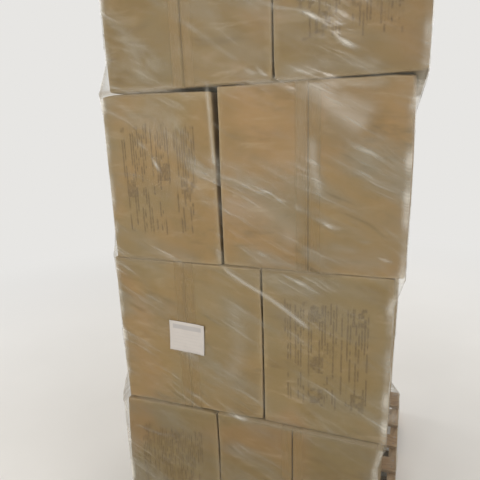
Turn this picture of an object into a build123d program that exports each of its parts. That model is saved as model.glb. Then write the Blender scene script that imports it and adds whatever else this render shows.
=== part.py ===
"""Wrapped pallet load: four courses of shipping cartons on a notched stringer pallet.

Five cartons make a course. Every carton lies on its side, so its length stands upright and its
taped flaps show as a wide face. One column of a course has two cartons turned with their flaps
to the side. The other column has three cartons with their flaps to the front and back. Each
course is the mirror image of the one below it, which locks the columns together. Stretch film
holds the load to the pallet.

Millimetres. +Z is up, X runs along the narrow face of the load and +Y runs from the front face
to the back. The origin is the centre of the pallet's underside.
"""

import os

from build123d import *

# Carton, measured over the closed flaps
carton_length = 558.0
carton_width = 556.0
carton_height = 402.0
board_thickness = 5.0
fold_radius = 5.0
flap_slit = 3.0
flap_setback = 2.5

# Tape over the slit between the long flaps, folded over both ends of the carton
tape_width = 72.0
tape_thickness = 0.4
tape_leg = 70.0

# Courses, from the bottom one up
column_gap = [3.0, 5.0, 16.0, 3.0]
row_gap = 4.0
course_clearance = 0.1
course_shift_x = [-36.0, -14.0, 8.0, 40.0]
course_shift_y = [-4.0, 8.0, 2.0, -6.0]
courses = len(course_shift_x)

# Pallet with stringers along Y
pallet_width = 1016.0
pallet_length = 1219.0
deck_thickness = 16.0
lead_board_width = 140.0
inner_board_width = 89.0
inner_top_boards = 5
inner_bottom_boards = 3
stringer_width = 38.0
stringer_height = 89.0
notch_length = 229.0
notch_height = 38.0
notch_from_end = 152.0
notch_radius = 13.0
wheel_chamfer_run = 20.0
wheel_chamfer_drop = 6.0

# Stretch film
film_thickness = 1.0
film_clearance = 0.3
film_pallet_clearance = 2.0
film_slant = 90.0
film_hem_drop = 8.0
film_top_lip = 95.0
film_top_lip_radius = 60.0

# Label stuck on the film, over the flap slit of the front left carton of the second course
label_width = 136.0
label_height = 115.0
label_thickness = 0.3
label_tilt = 2.7
label_course = 1

deck_top = 2 * deck_thickness + stringer_height
course_pitch = carton_length + 2 * tape_thickness + course_clearance
course_depth = max(3 * carton_height + 2 * row_gap, 2 * carton_width + row_gap)


def course_base(course):
    """Height of the underside of a course's cartons."""
    return deck_top + tape_thickness + course * course_pitch


def course_width(course):
    """How wide a course is along X, over both columns and the gap between them."""
    return carton_height + column_gap[course] + carton_width


def carton():
    """A closed carton on its end, flaps facing front and back, base at Z = 0."""
    core_depth = carton_height - 2 * board_thickness
    on_base = (Align.CENTER, Align.CENTER, Align.MIN)
    tube = Box(carton_width, core_depth, carton_length, align=on_base)
    tube = fillet(tube.edges().filter_by(Axis.Y), fold_radius)

    flap_panels = RectangleRounded(carton_width, carton_height, fold_radius)
    flap_panels -= Rectangle(carton_width, core_depth)
    flap_panels -= Rectangle(flap_slit, carton_height)
    flaps = extrude(flap_panels, carton_length - 2 * flap_setback)
    return tube + Pos(0, 0, flap_setback) * flaps


def tape_strip():
    """The strip over the front slit of carton(): a long face with a leg over each end."""
    face = -carton_height / 2
    outline = Polyline(
        (face + tape_leg, -tape_thickness),
        (face - tape_thickness, -tape_thickness),
        (face - tape_thickness, carton_length + tape_thickness),
        (face + tape_leg, carton_length + tape_thickness),
        (face + tape_leg, carton_length),
        (face, carton_length),
        (face, 0),
        (face + tape_leg, 0),
        close=True,
    )
    return extrude(Plane.YZ * make_face(outline), tape_width / 2, both=True)


def course_places(course):
    """Where the five cartons of a course stand, as a list of (name, location)."""
    side = -1 if course % 2 else 1
    middle = Pos(course_shift_x[course], course_shift_y[course], course_base(course))
    turned_x = -side * (course_width(course) - carton_height) / 2
    flat_x = side * (course_width(course) - carton_width) / 2
    turned_y = (course_depth - carton_width) / 2
    flat_pitch = (course_depth - carton_height) / 2
    return [
        ("turned_front", middle * Pos(turned_x, -turned_y, 0) * Rot(0, 0, 90)),
        ("turned_back", middle * Pos(turned_x, turned_y, 0) * Rot(0, 0, 90)),
        ("flat_front", middle * Pos(flat_x, -flat_pitch, 0)),
        ("flat_middle", middle * Pos(flat_x, 0, 0)),
        ("flat_back", middle * Pos(flat_x, flat_pitch, 0)),
    ]


def stringer():
    """A stringer with two fork notches in its underside, along Y, base at Z = 0."""
    side = Rectangle(pallet_length, stringer_height, align=(Align.CENTER, Align.MIN))
    notch = Rectangle(notch_length, notch_height, align=(Align.CENTER, Align.MIN))
    notch_centre = pallet_length / 2 - notch_from_end - notch_length / 2
    for end in (-1, 1):
        side -= Pos(end * notch_centre, 0) * notch
    corners = [v for v in side.vertices() if abs(v.Y - notch_height) < 0.01]
    side = fillet(corners, notch_radius)
    return extrude(Plane.YZ * side, stringer_width / 2, both=True)


def deck_board(width):
    """A top deck board along X, base at Z = 0."""
    return Box(pallet_width, width, deck_thickness, align=(Align.CENTER, Align.CENTER, Align.MIN))


def bottom_board(width):
    """A bottom board, its upper edges bevelled so that truck wheels climb over it."""
    half = width / 2
    outline = Polyline(
        (-half, 0),
        (half, 0),
        (half, deck_thickness - wheel_chamfer_drop),
        (half - wheel_chamfer_run, deck_thickness),
        (wheel_chamfer_run - half, deck_thickness),
        (-half, deck_thickness - wheel_chamfer_drop),
        close=True,
    )
    return extrude(Plane.YZ * make_face(outline), pallet_width / 2, both=True)


def pallet():
    """The pallet's boards and stringers, as a list of (name, solid)."""
    pieces = []
    stringer_x = (pallet_width - stringer_width) / 2
    for name, x in (("left", -stringer_x), ("centre", 0), ("right", stringer_x)):
        pieces.append((f"pallet_stringer_{name}", Pos(x, 0, deck_thickness) * stringer()))

    lead_y = (pallet_length - lead_board_width) / 2
    top_z = deck_thickness + stringer_height
    inner_span = 2 * lead_y
    spare = inner_span - lead_board_width - inner_top_boards * inner_board_width
    top_gap = spare / (inner_top_boards + 1)
    first_y = -lead_y + (lead_board_width + inner_board_width) / 2 + top_gap
    top_rows = [(-lead_y, lead_board_width)]
    for n in range(inner_top_boards):
        top_rows.append((first_y + n * (inner_board_width + top_gap), inner_board_width))
    top_rows.append((lead_y, lead_board_width))
    for n, (y, width) in enumerate(top_rows, 1):
        pieces.append((f"pallet_top_board_{n}", Pos(0, y, top_z) * deck_board(width)))

    middle_foot = pallet_length - 2 * (notch_from_end + notch_length)
    inner_reach = (middle_foot - inner_board_width) / 2
    bottom_rows = [(-lead_y, lead_board_width)]
    for n in range(inner_bottom_boards):
        along = 2 * n / (inner_bottom_boards - 1) - 1
        bottom_rows.append((along * inner_reach, inner_board_width))
    bottom_rows.append((lead_y, lead_board_width))
    for n, (y, width) in enumerate(bottom_rows, 1):
        pieces.append((f"pallet_bottom_board_{n}", Pos(0, y, 0) * bottom_board(width)))
    return pieces


def film_sides():
    """How far each side of the load reaches from the origin, for the pallet and each course.

    Each entry is (bottom, top, [left, right, front, back]), with the tape included.
    """
    spare = film_pallet_clearance
    half_pallet = [pallet_width / 2 + spare, pallet_length / 2 + spare]
    hem = deck_top - deck_thickness - film_hem_drop
    levels = [(hem, deck_top, [half_pallet[0], half_pallet[0], half_pallet[1], half_pallet[1]])]
    spare = tape_thickness + film_clearance
    for course in range(courses):
        half_x = course_width(course) / 2 + spare
        half_y = course_depth / 2 + spare
        x = course_shift_x[course]
        y = course_shift_y[course]
        base = course_base(course)
        levels.append((base, base + carton_length, [half_x - x, half_x + x, half_y - y, half_y + y]))
    return levels


def reach_at(levels, side, z):
    """How far the taut film stands out on one side at height z.

    Between two levels it runs straight to the edge of the one that stands out more.
    """
    for lower, upper in zip(levels, levels[1:]):
        low_reach, high_reach = lower[2][side], upper[2][side]
        if high_reach > low_reach:
            start, end = upper[0] - film_slant, upper[0]
        else:
            start, end = lower[1], lower[1] + film_slant
        if z <= start:
            return low_reach
        if z < end:
            return low_reach + (high_reach - low_reach) * (z - start) / (end - start)
    return levels[-1][2][side]


def film_section(levels, z, at_z, spread):
    """The film's outline at height z, drawn at at_z and grown by spread."""
    left, right, front, back = (reach_at(levels, side, z) + spread for side in range(4))
    centre = Pos((right - left) / 2, (back - front) / 2, at_z)
    radius = fold_radius + film_clearance + tape_thickness + spread
    return centre * RectangleRounded(left + right, front + back, radius)


def stretch_film():
    """The film as one closed skin: open below the deck, folded over the top edge of the load."""
    levels = film_sides()
    hem, top = levels[0][0], levels[-1][1] + tape_thickness + film_clearance
    heights = {hem, top}
    for lower, upper in zip(levels, levels[1:]):
        heights |= {upper[0] - film_slant, upper[0], lower[1], lower[1] + film_slant}
    heights = sorted(z for z in heights if hem <= z <= top)

    outer = [film_section(levels, z, z, film_thickness) for z in heights]
    outer[-1] = film_section(levels, top, top + film_thickness, film_thickness)
    inner = [film_section(levels, z, z, 0) for z in heights]
    inner[0] = film_section(levels, hem, hem - 1, 0)
    film = loft(outer, ruled=True) - loft(inner, ruled=True)

    left, right, front, back = (reach - film_top_lip for reach in levels[-1][2])
    mouth = RectangleRounded(left + right, front + back, film_top_lip_radius)
    centre = Pos((right - left) / 2, (back - front) / 2, top)
    return film - centre * extrude(mouth, 2 * film_thickness, both=True)


def label():
    """The address label, flat on the front of the film and slightly askew."""
    places = dict(course_places(label_course))
    carton_place = places["flat_front"].position
    front = film_sides()[label_course + 1][2][2] + film_thickness
    middle_z = course_base(label_course) + carton_length / 2
    on_film = (Align.CENTER, Align.MAX, Align.CENTER)
    sheet = Box(label_width, label_thickness, label_height, align=on_film)
    return Pos(carton_place.X, -front, middle_z) * Rot(0, label_tilt, 0) * sheet


def build():
    """Every piece of the load, as a list of (name, shape)."""
    pieces = pallet()
    one_carton = carton()
    one_tape = tape_strip()
    for course in range(courses):
        strips = []
        for name, place in course_places(course):
            pieces.append((f"carton_course_{course + 1}_{name}", place * one_carton))
            strips += [place * one_tape, place * Rot(0, 0, 180) * one_tape]
        pieces.append((f"tape_course_{course + 1}", Compound(children=strips)))
    pieces.append(("stretch_film", stretch_film()))
    pieces.append(("address_label", label()))
    return pieces


os.makedirs("parts", exist_ok=True)
for piece_name, piece in build():
    export_step(piece, f"parts/{piece_name}.step")
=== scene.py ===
"""A wrapped pallet load: kraft cartons in interlocked courses under clear stretch film.

The cartons, their tape, the film, the label and the pallet's timber are built here in metres,
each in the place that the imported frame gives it.
"""

import math
from functools import partialmethod

import bpy
import numpy as np
from mathutils import Matrix, Vector


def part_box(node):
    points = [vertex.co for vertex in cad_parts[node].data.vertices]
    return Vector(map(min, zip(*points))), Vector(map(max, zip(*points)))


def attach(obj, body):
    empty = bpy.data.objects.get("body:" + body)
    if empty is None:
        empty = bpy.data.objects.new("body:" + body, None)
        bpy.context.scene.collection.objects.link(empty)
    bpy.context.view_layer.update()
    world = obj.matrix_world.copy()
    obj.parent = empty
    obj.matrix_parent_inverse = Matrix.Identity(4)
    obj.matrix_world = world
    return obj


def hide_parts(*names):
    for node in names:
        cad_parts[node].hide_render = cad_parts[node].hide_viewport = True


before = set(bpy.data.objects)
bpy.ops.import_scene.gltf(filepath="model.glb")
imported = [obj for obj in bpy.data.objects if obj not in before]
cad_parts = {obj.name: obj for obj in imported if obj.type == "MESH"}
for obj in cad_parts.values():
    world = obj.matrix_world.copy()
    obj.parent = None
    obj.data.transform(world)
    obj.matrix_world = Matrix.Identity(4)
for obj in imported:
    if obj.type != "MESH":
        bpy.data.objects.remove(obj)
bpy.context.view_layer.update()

MM = 0.001

# The camera, where the photograph was taken from: its turns in degrees and its lens in mm
CAMERA_PLACE = (0.4887, -1.8684, 1.6700)
CAMERA_TURN = 21.24
CAMERA_DIP = 14.1
CAMERA_ROLL = -1.99
CAMERA_LENS = 32.97

# The surround: how it looks, and the even light that it gives
PALE = (0.80, 0.79, 0.77, 1.0)
SURROUND_LIGHT = (1.0, 0.98, 0.95, 1.0)
SURROUND_STRENGTH = 0.38
FLOOR_REACH = 20.0

# Soft square lamps: place, what they point at, size, watts and colour
LAMPS = {
    "key_lamp": ((-1.3, -3.4, 1.9), (0, 0, 1.45), 1.8, 41, (1.0, 0.955, 0.88)),
    "high_lamp": ((-1.2, -2.4, 4.6), (0, 0, 1.4), 2.2, 18, (1.0, 0.97, 0.92)),
    "fill_lamp": ((3.4, -2.2, 2.6), (0, 0, 1.4), 2.2, 40, (1.0, 0.97, 0.93)),
    "back_lamp": ((0.4, 4.4, 3.4), (0, 0, 1.3), 2.6, 110, (1.0, 0.98, 0.95)),
    "left_lamp": ((-4.2, 0.6, 2.6), (0, 0, 1.3), 2.4, 60, (1.0, 0.98, 0.95)),
    "right_lamp": ((4.2, 1.2, 2.6), (0, 0, 1.3), 2.4, 40, (1.0, 0.98, 0.95)),
    "glint_lamp": ((-0.1, -3.3, 2.5), (0.0, -0.6, 1.5), 0.16, 14, (1.0, 0.97, 0.92)),
}

# Cartons: their board, their folds and the slit between two flaps
BOARD = 5.0 * MM
FOLD_RADIUS = 5.0 * MM
CUT_EDGE = 0.5 * MM
FLAP_SLIT = 3.0 * MM
FLAP_SETBACK = 2.5 * MM
SETBACK_EASE = 12.0 * MM
CARTON_GRID = 21.0 * MM
FLAP_LIFT_REACH = 45.0 * MM
CRUSH_REACH = 35.0 * MM
DENTS = 9
COURSES = 4
TURNED = ("turned_front", "turned_back")
FLAT = ("flat_front", "flat_middle", "flat_back")

# How near the outside of a course a carton's side must be to count as part of it
TOUCHING = 20.0 * MM

# The front cartons, as the photograph shows them. How warm the board is, from olive at 0 to
# orange brown at 1. Then how far its corners are crushed or lean, each as which end of X, which
# end of Z, then millimetres along X and Z
FRONT_CARTONS = {
    "course_1_turned_front": (0.12, (-1, 1, 20.0, -15.0), (1, 1, -1.0, -4.0)),
    "course_1_flat_front": (0.20,),
    "course_2_flat_front": (0.42, (-1, -1, 3.0, -13.0)),
    "course_2_turned_front": (0.16,),
    "course_3_turned_front": (0.62, (1, 1, -4.0, -13.0), (-1, 1, 1.0, -4.0), (1, -1, 6.0, 0.0)),
    "course_3_flat_front": (0.90, (1, 1, -3.0, -2.0), (-1, -1, -3.0, 0.0)),
    "course_4_flat_front": (0.34, (-1, -1, 4.0, 0.0)),
    "course_4_turned_front": (0.22,),
}

# Painted shade: how much darker each course's board is painted, as less light falls on the top and
# bottom courses. Then how dark the painted shadow of each course's flap slits is on the tape
PAINTED_COURSE_SHADE = (0.24, 0.02, 0.05, 0.20)
SLIT_PAINTED_SHADOW = (1.0, 0.3, 0.55, 0.9)

# Printed marks, in rows that run up the panel, with solid blocks here and there
ROW_PITCH = 8.6 * MM
BLOCK_SIZE = (43.0 * MM, 58.0 * MM)
PRINT_HALF_WIDTH = 134.0 * MM
PRINT_HALF_HEIGHT = 186.0 * MM
PRINT_RAGGED = 34.0 * MM
FLUTE_PITCH = 7.9 * MM

# Tape: the places across it that have points, and how it lies and ends
TAPE_COLUMNS = np.array([-36.0, -33.5, -20.0, -6.0, -1.2, 1.2, 6.0, 20.0, 33.5, 36.0]) * MM
TAPE_LEG = 70.0 * MM
TAPE_GAUGE = 0.3 * MM
TAPE_LIFT = 0.05 * MM
TAPE_DIP = 0.9 * MM

# Label
LABEL_HALF = (68.0 * MM, 57.5 * MM)
LABEL_TILT = 2.7
LABEL_CURL = 2.2 * MM
LABEL_STAND_OFF = 5.2 * MM
LABEL_THICKNESS = 0.25 * MM
LABEL_RULE_PITCH = 12.5 * MM

# Pallet timber: the stringers' fork notches, then the slopes of the bottom boards for truck wheels
NOTCH_LENGTH = 229.0 * MM
NOTCH_HEIGHT = 38.0 * MM
NOTCH_RADIUS = 13.0 * MM
NOTCH_MIDDLE = 343.0 * MM
NOTCH_CUTS = np.array([-0.05, 0.0, 1.0, 3.5, 8.0, 13.0]) * MM
WHEEL_RUN = 20.0 * MM
WHEEL_DROP = 6.0 * MM
SAWN_RADIUS = 1.6 * MM
NICKS = 7
NAIL_HEAD = (4.0 * MM, 4.0 * MM, 0.9 * MM)

# Stretch film. A side's name, the way it looks, its grid pitch, and its pull's fall in degrees
FILM_SIDES = (
    ("front", (0, -1), 5.2 * MM, 27.0),
    ("right", (1, 0), 7.0 * MM, 14.0),
    ("back", (0, 1), 6.5 * MM, 20.0),
    ("left", (-1, 0), 7.0 * MM, 16.0),
)
FILM_CLEARANCE = 1.2 * MM
FILM_SLANT = 90.0 * MM
FILM_LIP = 95.0 * MM
FILM_CORNER = 8.0 * MM
LIP_ROWS = 12
NARROW_FOLD = 12.0 * MM

# Folds and veils of the front, as the photograph shows them. In millimetres: where one starts
# across and up, where it ends, and its half width. Then how milky it is, and its height
# Their milkiness is partly painted light: the small, very milky ones are painted glints, and the
# pale veils and streaks are partly painted sheen
FRONT_FOLDS = (
    (-166, 1988, 83, 1809, 11, 0.26, 0.8),
    (-120, 2010, 110, 1850, 32, 0.20, 0.5),
    (193, 1791, 388, 1677, 42, 0.50, 0.8),
    (290, 1760, 390, 1690, 30, 0.44, 0.8),
    (136, 1814, 407, 1826, 26, 0.26, 0.5),
    (224, 1643, 257, 1479, 19, 0.42, 1.0),
    (-88, 1795, -80, 1566, 6, 0.50, 0.8),
    (-80, 1566, -76, 1300, 5, 0.25, 0.5),
    (-82, 1300, -68, 1245, 12, 0.42, 1.0),
    (-44, 1480, 190, 1340, 60, 0.34, 0.3),
    (193, 1295, 465, 1293, 28, 0.26, 0.5),
    (-53, 1537, 209, 1426, 10, 0.34, 1.6),
    (209, 1426, 400, 1344, 10, 0.38, 1.8),
    (7, 1310, 127, 1261, 10, 0.32, 1.2),
    (123, 1660, 158, 1642, 10, 0.30, 1.0),
    (370, 1502, 468, 1467, 9, 0.30, 1.0),
    (275, 1336, 373, 1312, 16, 0.32, 1.2),
    (-67, 1236, 221, 1057, 10, 0.55, 3.0),
    (-77, 688, 154, 676, 9, 0.45, 2.0),
    (110, 1185, 440, 1180, 30, 0.22, 0.8),
    (100, 1110, 450, 1095, 55, 0.17, 0.6),
    (-30, 1120, -35, 830, 42, 0.30, 0.6),
    (190, 1770, 230, 1480, 30, 0.15, 0.6),
    (300, 1290, 470, 1300, 30, 0.20, 0.6),
    (-440, 640, -120, 560, 45, 0.13, 0.6),
    (170, 1785, 320, 1775, 22, 0.38, 0.8),
    (240, 1800, 420, 1770, 16, 0.34, 0.8),
    (300, 1740, 400, 1560, 50, 0.16, 0.6),
    (-450, 2080, -444, 2010, 8, 0.95, 2.0),
    (200, 1968, 250, 1940, 7, 0.70, 1.8),
    (295, 1895, 340, 1864, 7, 0.75, 1.8),
    (262, 1400, 296, 1384, 7, 0.85, 1.8),
    (420, 1304, 456, 1293, 6, 0.75, 1.8),
    (-345, 1640, -321, 1624, 6, 0.70, 1.8),
    (-294, 1580, -280, 1553, 7, 1.00, 2.2),
    (74, 1834, 94, 1818, 6, 0.80, 1.8),
    (183, 1202, 203, 1194, 6, 0.80, 1.8),
    (-400, 1300, -150, 1240, 30, 0.16, 0.6),
    (10, 1420, 120, 1330, 35, 0.14, 0.6),
)
OTHER_FOLDS = 26

# The film's web: its width, and how high its middle is at each corner that it passes, from the
# front left corner on
WEB_WIDTH = 0.46
WEB_HEIGHTS = (
    0.31, 0.30, 0.30, 0.31,
    0.36, 0.33, 0.42, 0.60,
    0.98, 0.62, 0.75, 0.95,
    1.42, 1.02, 1.15, 1.32,
    1.78, 1.42, 1.52, 1.70,
    2.06, 1.80, 1.98, 2.10,
    2.16, 2.12, 2.14, 2.15,
    2.08, 1.66, 1.42, 1.20,
    1.16, 0.80, 0.62, 0.50,
    0.42,
)


def smooth(t):
    """Zero below 0, one above 1, and an even curve between."""
    t = np.clip(t, 0.0, 1.0)
    return t * t * (3.0 - 2.0 * t)


def near_end(share, start):
    """Zero up to start, and rising to one at 1."""
    return smooth((share - start) / (1.0 - start))


def hump(distance, width):
    """One at no distance, and fading out over width."""
    return np.exp(-((distance / width) ** 2))


def packed(*parts):
    """Numbers and arrays side by side, as vectors."""
    return np.stack(np.broadcast_arrays(*parts), -1)


def swell(points, seed, size, waves=7):
    """Smooth random heights, mostly between -1 and 1, in bumps about size across."""
    rng = np.random.default_rng(seed)
    points = np.asarray(points, float)
    total = np.zeros(points.shape[:-1])
    for _ in range(waves):
        direction = rng.normal(size=points.shape[-1])
        direction /= np.linalg.norm(direction)
        length = size * rng.uniform(0.7, 1.7)
        total += np.sin(points @ direction * (math.tau / length) + rng.uniform(0, math.tau))
    return total / math.sqrt(waves)


def in_scene(name, data):
    """An object that puts a mesh, a camera or a lamp in the scene."""
    made = bpy.data.objects.new(name, data)
    bpy.context.scene.collection.objects.link(made)
    return made


def new_piece(name, points, faces, material):
    """A mesh object of quads, smooth shaded."""
    mesh = bpy.data.meshes.new(name)
    mesh.from_pydata(points.tolist(), [], faces.tolist(), shade_flat=False)
    mesh.validate()
    mesh.materials.append(material)
    return in_scene(name, mesh)


def note(piece, name, values, domain="POINT"):
    """Keeps a number or a vector for each point or face corner, for the materials to read."""
    if np.ndim(values) == 0:
        values = np.full(len(piece.data.vertices), values)
    values = np.asarray(values, np.float32)
    kind, part = ("FLOAT", "value") if values.ndim == 1 else ("FLOAT_VECTOR", "vector")
    piece.data.attributes.new(name, kind, domain).data.foreach_set(part, values.ravel())


def grid_faces(rows, columns, flip=False):
    """The quads of a grid of points, row by row."""
    grid = np.arange(rows * columns).reshape(rows, columns)
    corners = [grid[:-1, :-1], grid[:-1, 1:], grid[1:, 1:], grid[1:, :-1]]
    return np.stack(corners[::-1] if flip else corners, -1).reshape(-1, 4)


def closed_strip(outer, inner):
    """Two matching grids of points joined round their border: (points, faces)."""
    rows, columns = outer.shape[:2]
    count = rows * columns
    grid = np.arange(count).reshape(rows, columns)
    rim = np.concatenate([grid[0, :-1], grid[:-1, -1], grid[-1, :0:-1], grid[:0:-1, 0]])
    after = np.roll(rim, -1)
    border = np.stack([rim, rim + count, after + count, after], -1)
    faces = [grid_faces(rows, columns), grid_faces(rows, columns, flip=True) + count, border]
    return np.concatenate([outer.reshape(-1, 3), inner.reshape(-1, 3)]), np.concatenate(faces)


def box_lattice(cuts):
    """The surface of a box cut at the given places along each axis.

    Returns its points, its quads and the axis that each quad looks along.
    """
    sizes = [len(c) for c in cuts]
    grid = np.arange(int(np.prod(sizes))).reshape(sizes)
    faces, looks = [], []
    for axis in range(3):
        for side in (0, -1):
            sheet = np.take(grid, side, axis=axis)
            corners = [sheet[:-1, :-1], sheet[1:, :-1], sheet[1:, 1:], sheet[:-1, 1:]]
            if (side == 0) != (axis == 1):
                corners.reverse()
            faces.append(np.stack(corners, -1).reshape(-1, 4))
            looks.append(np.full(len(faces[-1]), axis))
    used, faces = np.unique(np.concatenate(faces), return_inverse=True)
    x, y, z = np.unravel_index(used, sizes)
    points = np.stack([cuts[0][x], cuts[1][y], cuts[2][z]], -1)
    return points, faces.reshape(-1, 4), np.concatenate(looks)


def rounded(flat, half, radius):
    """Rounds the edges and corners of a box's points, or the corners of a rectangle's."""
    inner = np.clip(flat, radius - half, half - radius)
    out = flat - inner
    length = np.maximum(np.linalg.norm(out, axis=-1, keepdims=True), radius)
    return inner + out * radius / length


def round_cuts(radius):
    """Where a box is cut near an end so that rounded() has points to turn."""
    return (0.0, radius * (1 - math.tan(math.pi / 8)), radius)


def even_cuts(half, pitch, near_ends=(), near_middle=()):
    """Cuts from -half to half about pitch apart, with more near both ends and the middle."""
    ends = half - np.array(sorted({0.0, *near_ends}))
    inner = np.linspace(-ends[-1], ends[-1], max(2, round(2 * half / pitch)))
    if near_middle:
        inner = inner[abs(inner) > max(near_middle) + pitch * 0.4]
    cuts = np.concatenate([inner, near_middle, ends])
    return np.unique(np.round(np.concatenate([cuts, -cuts]), 7))


def edge_distance(flat, half):
    """How far a box's points are from its nearest edge, along the face."""
    return np.sort(half - np.abs(flat), axis=-1)[:, 1]


def outer_box(nodes):
    """The lowest and highest corners of several nodes together."""
    corners = np.array([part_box(name) for name in nodes])
    return corners[:, 0].min(axis=0), corners[:, 1].max(axis=0)


def feed(target, sockets):
    """Fills or links a node's inputs."""
    for name, value in sockets.items():
        if isinstance(value, Field):
            value.tree.links.new(value.socket, target.inputs[name])
        else:
            target.inputs[name].default_value = value


def node(tree, kind, sockets=None, **settings):
    """Adds a shader node, sets it up and feeds it."""
    made = tree.nodes.new("ShaderNode" + kind)
    for name, value in settings.items():
        setattr(made, name, value)
    feed(made, sockets or {})
    return made


def field(tree, kind, sockets=None, output=0, **settings):
    """One output of a new node."""
    return Field(node(tree, kind, sockets, **settings).outputs[output])


def outputs(made):
    """A node's outputs by their names."""
    return {socket.name: Field(socket) for socket in made.outputs}


class Field:
    """A number, vector or colour that changes over a surface: a node's output to reckon with."""

    def __init__(self, socket):
        self.socket = socket
        self.tree = socket.id_data

    def calc(self, operation, second=0.0, third=0.0, clamp=False):
        """The result of a Math node that starts from this number."""
        sockets = {0: self, 1: second, 2: third}
        return field(self.tree, "Math", sockets, operation=operation, use_clamp=clamp)

    __add__ = partialmethod(calc, "ADD")
    __sub__ = partialmethod(calc, "SUBTRACT")
    __mul__ = partialmethod(calc, "MULTIPLY")
    __truediv__ = partialmethod(calc, "DIVIDE")
    __abs__ = partialmethod(calc, "ABSOLUTE")

    def rise(self, low, high, top=1.0, bottom=0.0):
        """Eases from bottom to top as this number goes from low to high."""
        sockets = {0: self, "From Min": low, "From Max": high, "To Min": bottom, "To Max": top}
        return field(self.tree, "MapRange", sockets, interpolation_type="SMOOTHSTEP")

    def tint(self, first, second):
        """Goes from the first colour to the second one as this number goes from 0 to 1."""
        first, second = (c if isinstance(c, Field) else (*c, 1.0) for c in (first, second))
        return field(self.tree, "Mix", {0: self, 6: first, 7: second}, 2, data_type="RGBA")

    def vector_calc(self, operation, sockets, output=0):
        """The result of a Vector Math node that starts from this vector."""
        return field(self.tree, "VectorMath", {0: self, **sockets}, output, operation=operation)

    def scaled(self, *scale):
        """This vector with each part multiplied."""
        return self.vector_calc("MULTIPLY", {1: scale})

    def length(self):
        """How long this vector is."""
        return self.vector_calc("LENGTH", {}, "Value")

    def speckle(self, scale, detail=3.0, roughness=0.55, distortion=0.0):
        """Noise from 0 to 1, with this vector as its place."""
        sockets = {"Vector": self, "Scale": scale, "Detail": detail, "Roughness": roughness}
        return field(self.tree, "TexNoise", {**sockets, "Distortion": distortion}, "Fac")

    def split(self, kind="XYZ"):
        """The three parts of this vector or colour."""
        return [Field(part) for part in node(self.tree, "Separate" + kind, {0: self}).outputs]


def joined(x, y, z=0.0):
    """A vector from three numbers."""
    return field(x.tree, "CombineXYZ", {"X": x, "Y": y, "Z": z})


def layered(colour, *layers):
    """A colour under others, each given as its mask and its own colour."""
    for mask, shade in layers:
        colour = mask.tint(colour, shade)
    return colour


def kept(tree, name, output="Fac"):
    """A number or vector that note() kept on the mesh."""
    return field(tree, "Attribute", None, output, attribute_name=name)


def body_place(tree):
    """The place in the load, in metres."""
    return field(tree, "TexCoord", None, "Object")


def new_group(name, inputs, work):
    """A node group with the numbers that work() returns by name as its outputs."""
    tree = bpy.data.node_groups.new(name, "ShaderNodeTree")
    for label, kind in inputs.items():
        tree.interface.new_socket(label, in_out="INPUT", socket_type="NodeSocket" + kind)
    results = work(outputs(tree.nodes.new("NodeGroupInput")))
    for label in results:
        tree.interface.new_socket(label, in_out="OUTPUT", socket_type="NodeSocketFloat")
    feed(tree.nodes.new("NodeGroupOutput"), results)
    return tree


def use_group(tree, group, sockets):
    """Places a node group in a material and returns its outputs by name."""
    return outputs(node(tree, "Group", sockets, node_tree=group))


def new_material(name, look):
    """A material with one Principled shader, fed with what look() returns by name."""
    material = bpy.data.materials.new(name)
    material.use_nodes = True
    feed(material.node_tree.nodes["Principled BSDF"], look(material.node_tree))
    return material


def bump(height, strength, distance):
    """A normal from heights over the surface."""
    sockets = {"Height": height, "Strength": strength, "Distance": distance}
    return field(height.tree, "Bump", sockets)


def paper_fibre(given):
    """Paper fibre: flecks that lie along one direction, and broad cloudy mottling."""
    fleck = given["Place"].scaled(0.25, 1.0, 1.0).speckle(given["Fleck Scale"], 2.0, 0.6)
    cloud = given["Place"].speckle(given["Cloud Scale"], 5.0, 0.6)
    return {"Fleck": fleck, "Cloud": cloud, "Height": fleck * 0.4 + cloud}


def rubbed_edges(given):
    """Rubbed edges: one at an edge, fading out unevenly over the reach."""
    patchy = given["Place"].speckle(35.0, 4.0, 0.65)
    near = given["Edge Distance"] / (given["Reach"] * patchy.rise(0.3, 0.75, 1.6, 0.25))
    fade = near.calc("MULTIPLY_ADD", -1.0, 1.0, clamp=True)
    return {"Wear": fade.calc("POWER", 1.6)}


def pulled_plastic(given):
    """Drawn-out plastic: fine lines along the pull, and broader creases beside them."""
    wander = given["Pull"].speckle(5.0, 2.0, 0.5) * 0.05
    bent = given["Pull"].vector_calc("ADD", {1: field(wander.tree, "CombineXYZ", {"Y": wander})})
    fine = bent.vector_calc("SCALE", {"Scale": given["Fineness"]})
    line = fine.scaled(7.0, 210.0, 3.0).speckle(1.0, 3.0, 0.6)
    crease = fine.scaled(4.5, 52.0, 3.0).speckle(1.0, 3.0, 0.55)
    return {"Line": line, "Crease": crease, "Height": line * 0.5 + crease}


FIBRE_INPUTS = {"Place": "Vector", "Fleck Scale": "Float", "Cloud Scale": "Float"}
WEAR_INPUTS = {"Edge Distance": "Float", "Reach": "Float", "Place": "Vector"}
FIBRE = new_group("paper_fibre", FIBRE_INPUTS, paper_fibre)
WEAR = new_group("rubbed_edges", WEAR_INPUTS, rubbed_edges)
STREAKS = new_group("pulled_plastic", {"Pull": "Vector", "Fineness": "Float"}, pulled_plastic)


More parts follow.
